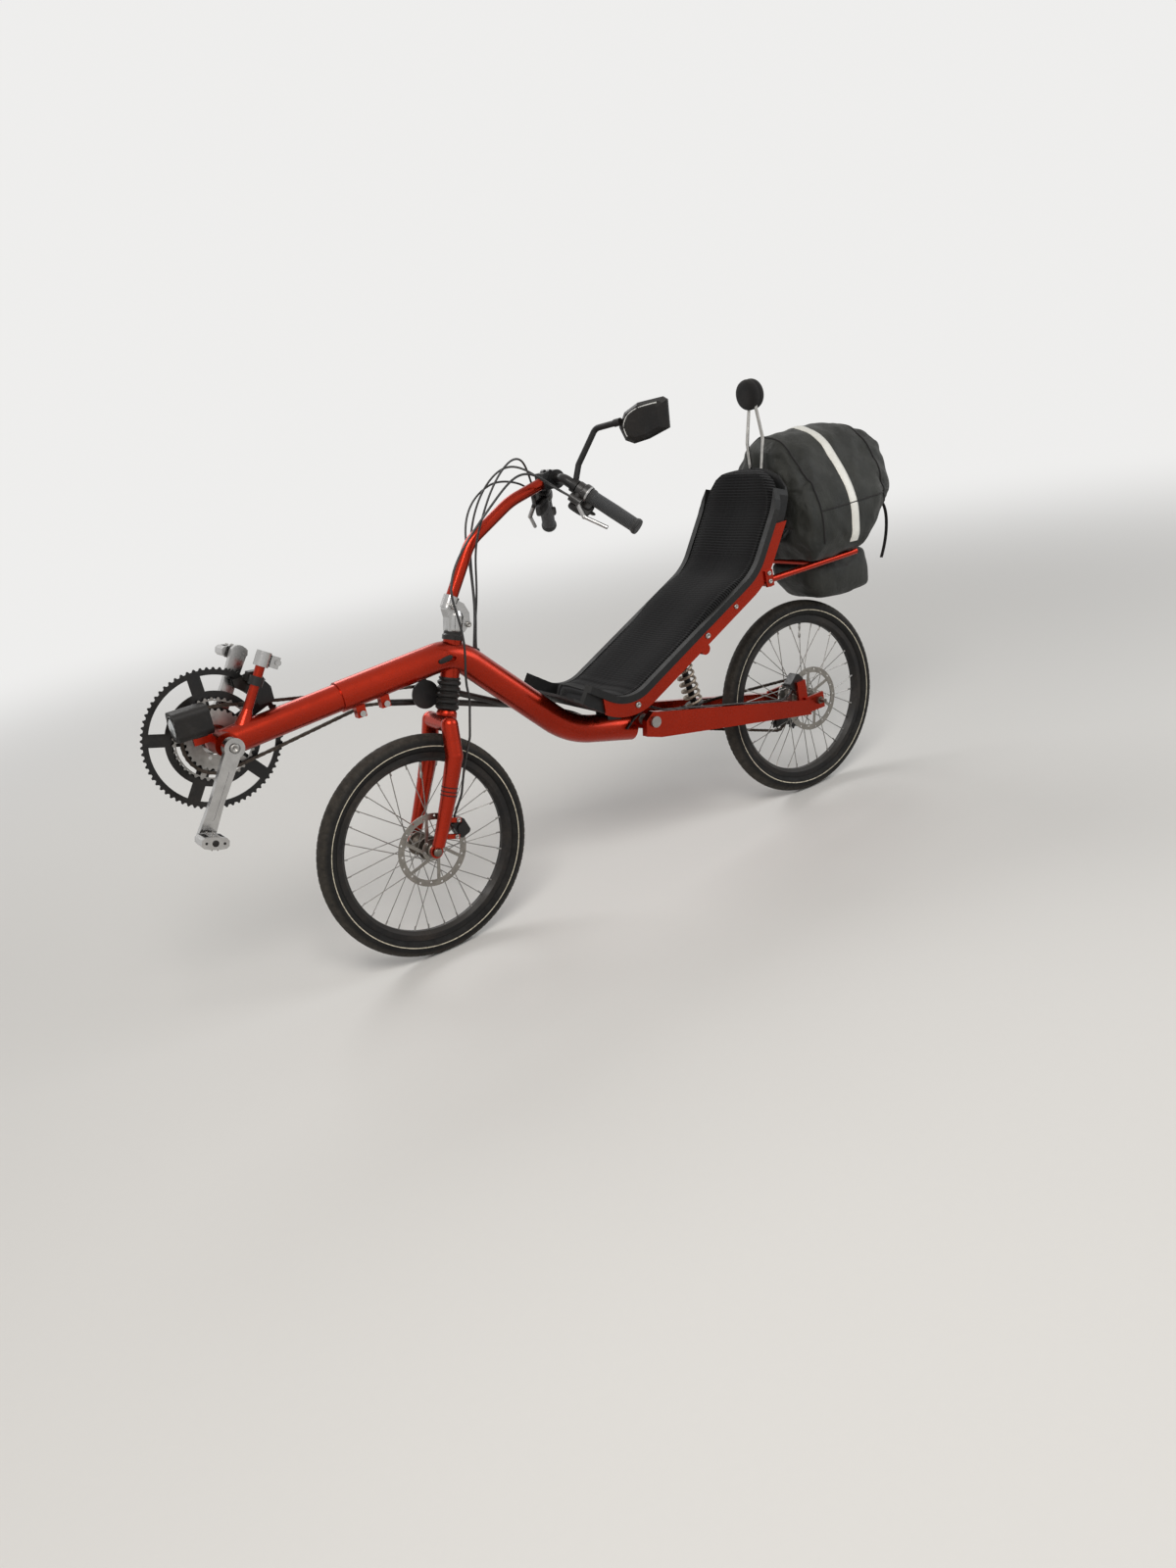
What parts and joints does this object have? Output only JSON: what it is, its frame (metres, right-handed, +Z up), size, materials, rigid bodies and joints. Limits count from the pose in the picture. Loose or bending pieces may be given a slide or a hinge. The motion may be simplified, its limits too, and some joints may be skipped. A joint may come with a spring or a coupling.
{
  "type": "recumbent bicycle",
  "caption": "Short recumbent bicycle with a forward boom and cranks, reclined mesh seat, small wheels, sprung rear arm, tall handlebar, mirror and a rear bag.",
  "frame": {"origin": "where the rider sits, on the middle of the seat pad's lowest part", "axes": "+X forward, +Y to the rider's left, +Z up"},
  "size_m": [1.881, 0.4472, 1.056],
  "materials": {
    "red_paint": "glossy metallic red lacquer, worn at the edges",
    "bare_aluminium": "polished and cast aluminium, dulled",
    "steel": "plain steel, a little dirty",
    "black_metal": "satin black",
    "chain_steel": "oiled chain, dirty",
    "tyre_rubber": "matt rubber with dust",
    "black_plastic": "moulded matt plastic",
    "shell_plastic": "smooth dark shell",
    "grip_rubber": "ribbed grip rubber",
    "seat_mesh": "ribbed open mesh",
    "bag_fabric": "coated woven fabric",
    "pad_foam": "soft foam cover"
  },
  "bodies": {
    "root": {"main_tube": "red_paint", "headset": "black_metal", "boom": "red_paint", "boom_bolts": "bare_aluminium", "post_clamp": "bare_aluminium", "front_derailleur": "steel", "lamp": "black_plastic", "seat_shell": "shell_plastic", "seat_rails": "red_paint", "seat_pad": "seat_mesh", "seat_block": "black_metal", "seat_stay": "red_paint", "headrest_rods": "steel", "headrest_pad": "pad_foam", "bag": "bag_fabric", "bag_flap": "bag_fabric", "rack": "red_paint", "swingarm": "red_paint", "pivot_axle": "steel", "rear_axle": "steel", "shock_body": "black_metal", "shock_spring": "steel", "chain": "chain_steel", "chain_tubes": "black_plastic", "idlers": "black_plastic", "idler_studs": "steel", "rear_derailleur": "black_metal", "rear_caliper": "black_metal", "rear_brake_hose": "black_plastic"},
    "steering": {"fork": "red_paint", "bellows": "black_plastic", "stem": "bare_aluminium", "riser": "red_paint", "handlebar": "black_metal", "bar_clamp": "black_metal", "grips": "grip_rubber", "brake_levers": "bare_aluminium", "mirror_arm": "black_plastic", "mirror_head": "black_plastic", "front_caliper": "black_metal", "front_brake_hose": "black_plastic"},
    "front_wheel": {"front_tyre": "tyre_rubber", "front_rim": "black_metal", "front_spokes": "steel", "front_hub": "bare_aluminium", "front_rotor": "steel"},
    "rear_wheel": {"rear_tyre": "tyre_rubber", "rear_rim": "black_metal", "rear_spokes": "steel", "rear_hub": "bare_aluminium", "rear_rotor": "steel", "cassette": "steel"},
    "crank": {"crankset": "bare_aluminium", "outer_chainring": "black_metal", "inner_chainrings": "steel"},
    "left_pedal": {"pedal_left": "bare_aluminium"},
    "right_pedal": {"pedal_right": "bare_aluminium"}
  },
  "joints": [
    {"name": "steering_turn", "type": "hinge", "parent": "root", "child": "steering", "pos_m": [0.49596, 0, -0.21351], "axis": [-0.3338, 0, 0.9426], "range_deg": [-35, 35]},
    {"name": "front_wheel_spin", "type": "hinge", "parent": "steering", "child": "front_wheel", "pos_m": [0.52, 0, -0.205], "axis": [0, 1, 0], "continuous": true},
    {"name": "rear_wheel_spin", "type": "hinge", "parent": "root", "child": "rear_wheel", "pos_m": [-0.571, 0, -0.205], "axis": [0, 1, 0], "continuous": true},
    {"name": "crank_spin", "type": "hinge", "parent": "root", "child": "crank", "pos_m": [0.875, 0, 0.15], "axis": [0, 1, 0], "continuous": true},
    {"name": "left_pedal_spin", "type": "hinge", "parent": "crank", "child": "left_pedal", "pos_m": [0.97286, 0.07, 0.00492], "axis": [0, 1, 0], "continuous": true},
    {"name": "right_pedal_spin", "type": "hinge", "parent": "crank", "child": "right_pedal", "pos_m": [0.77714, -0.07, 0.29508], "axis": [0, 1, 0], "continuous": true}
  ]
}
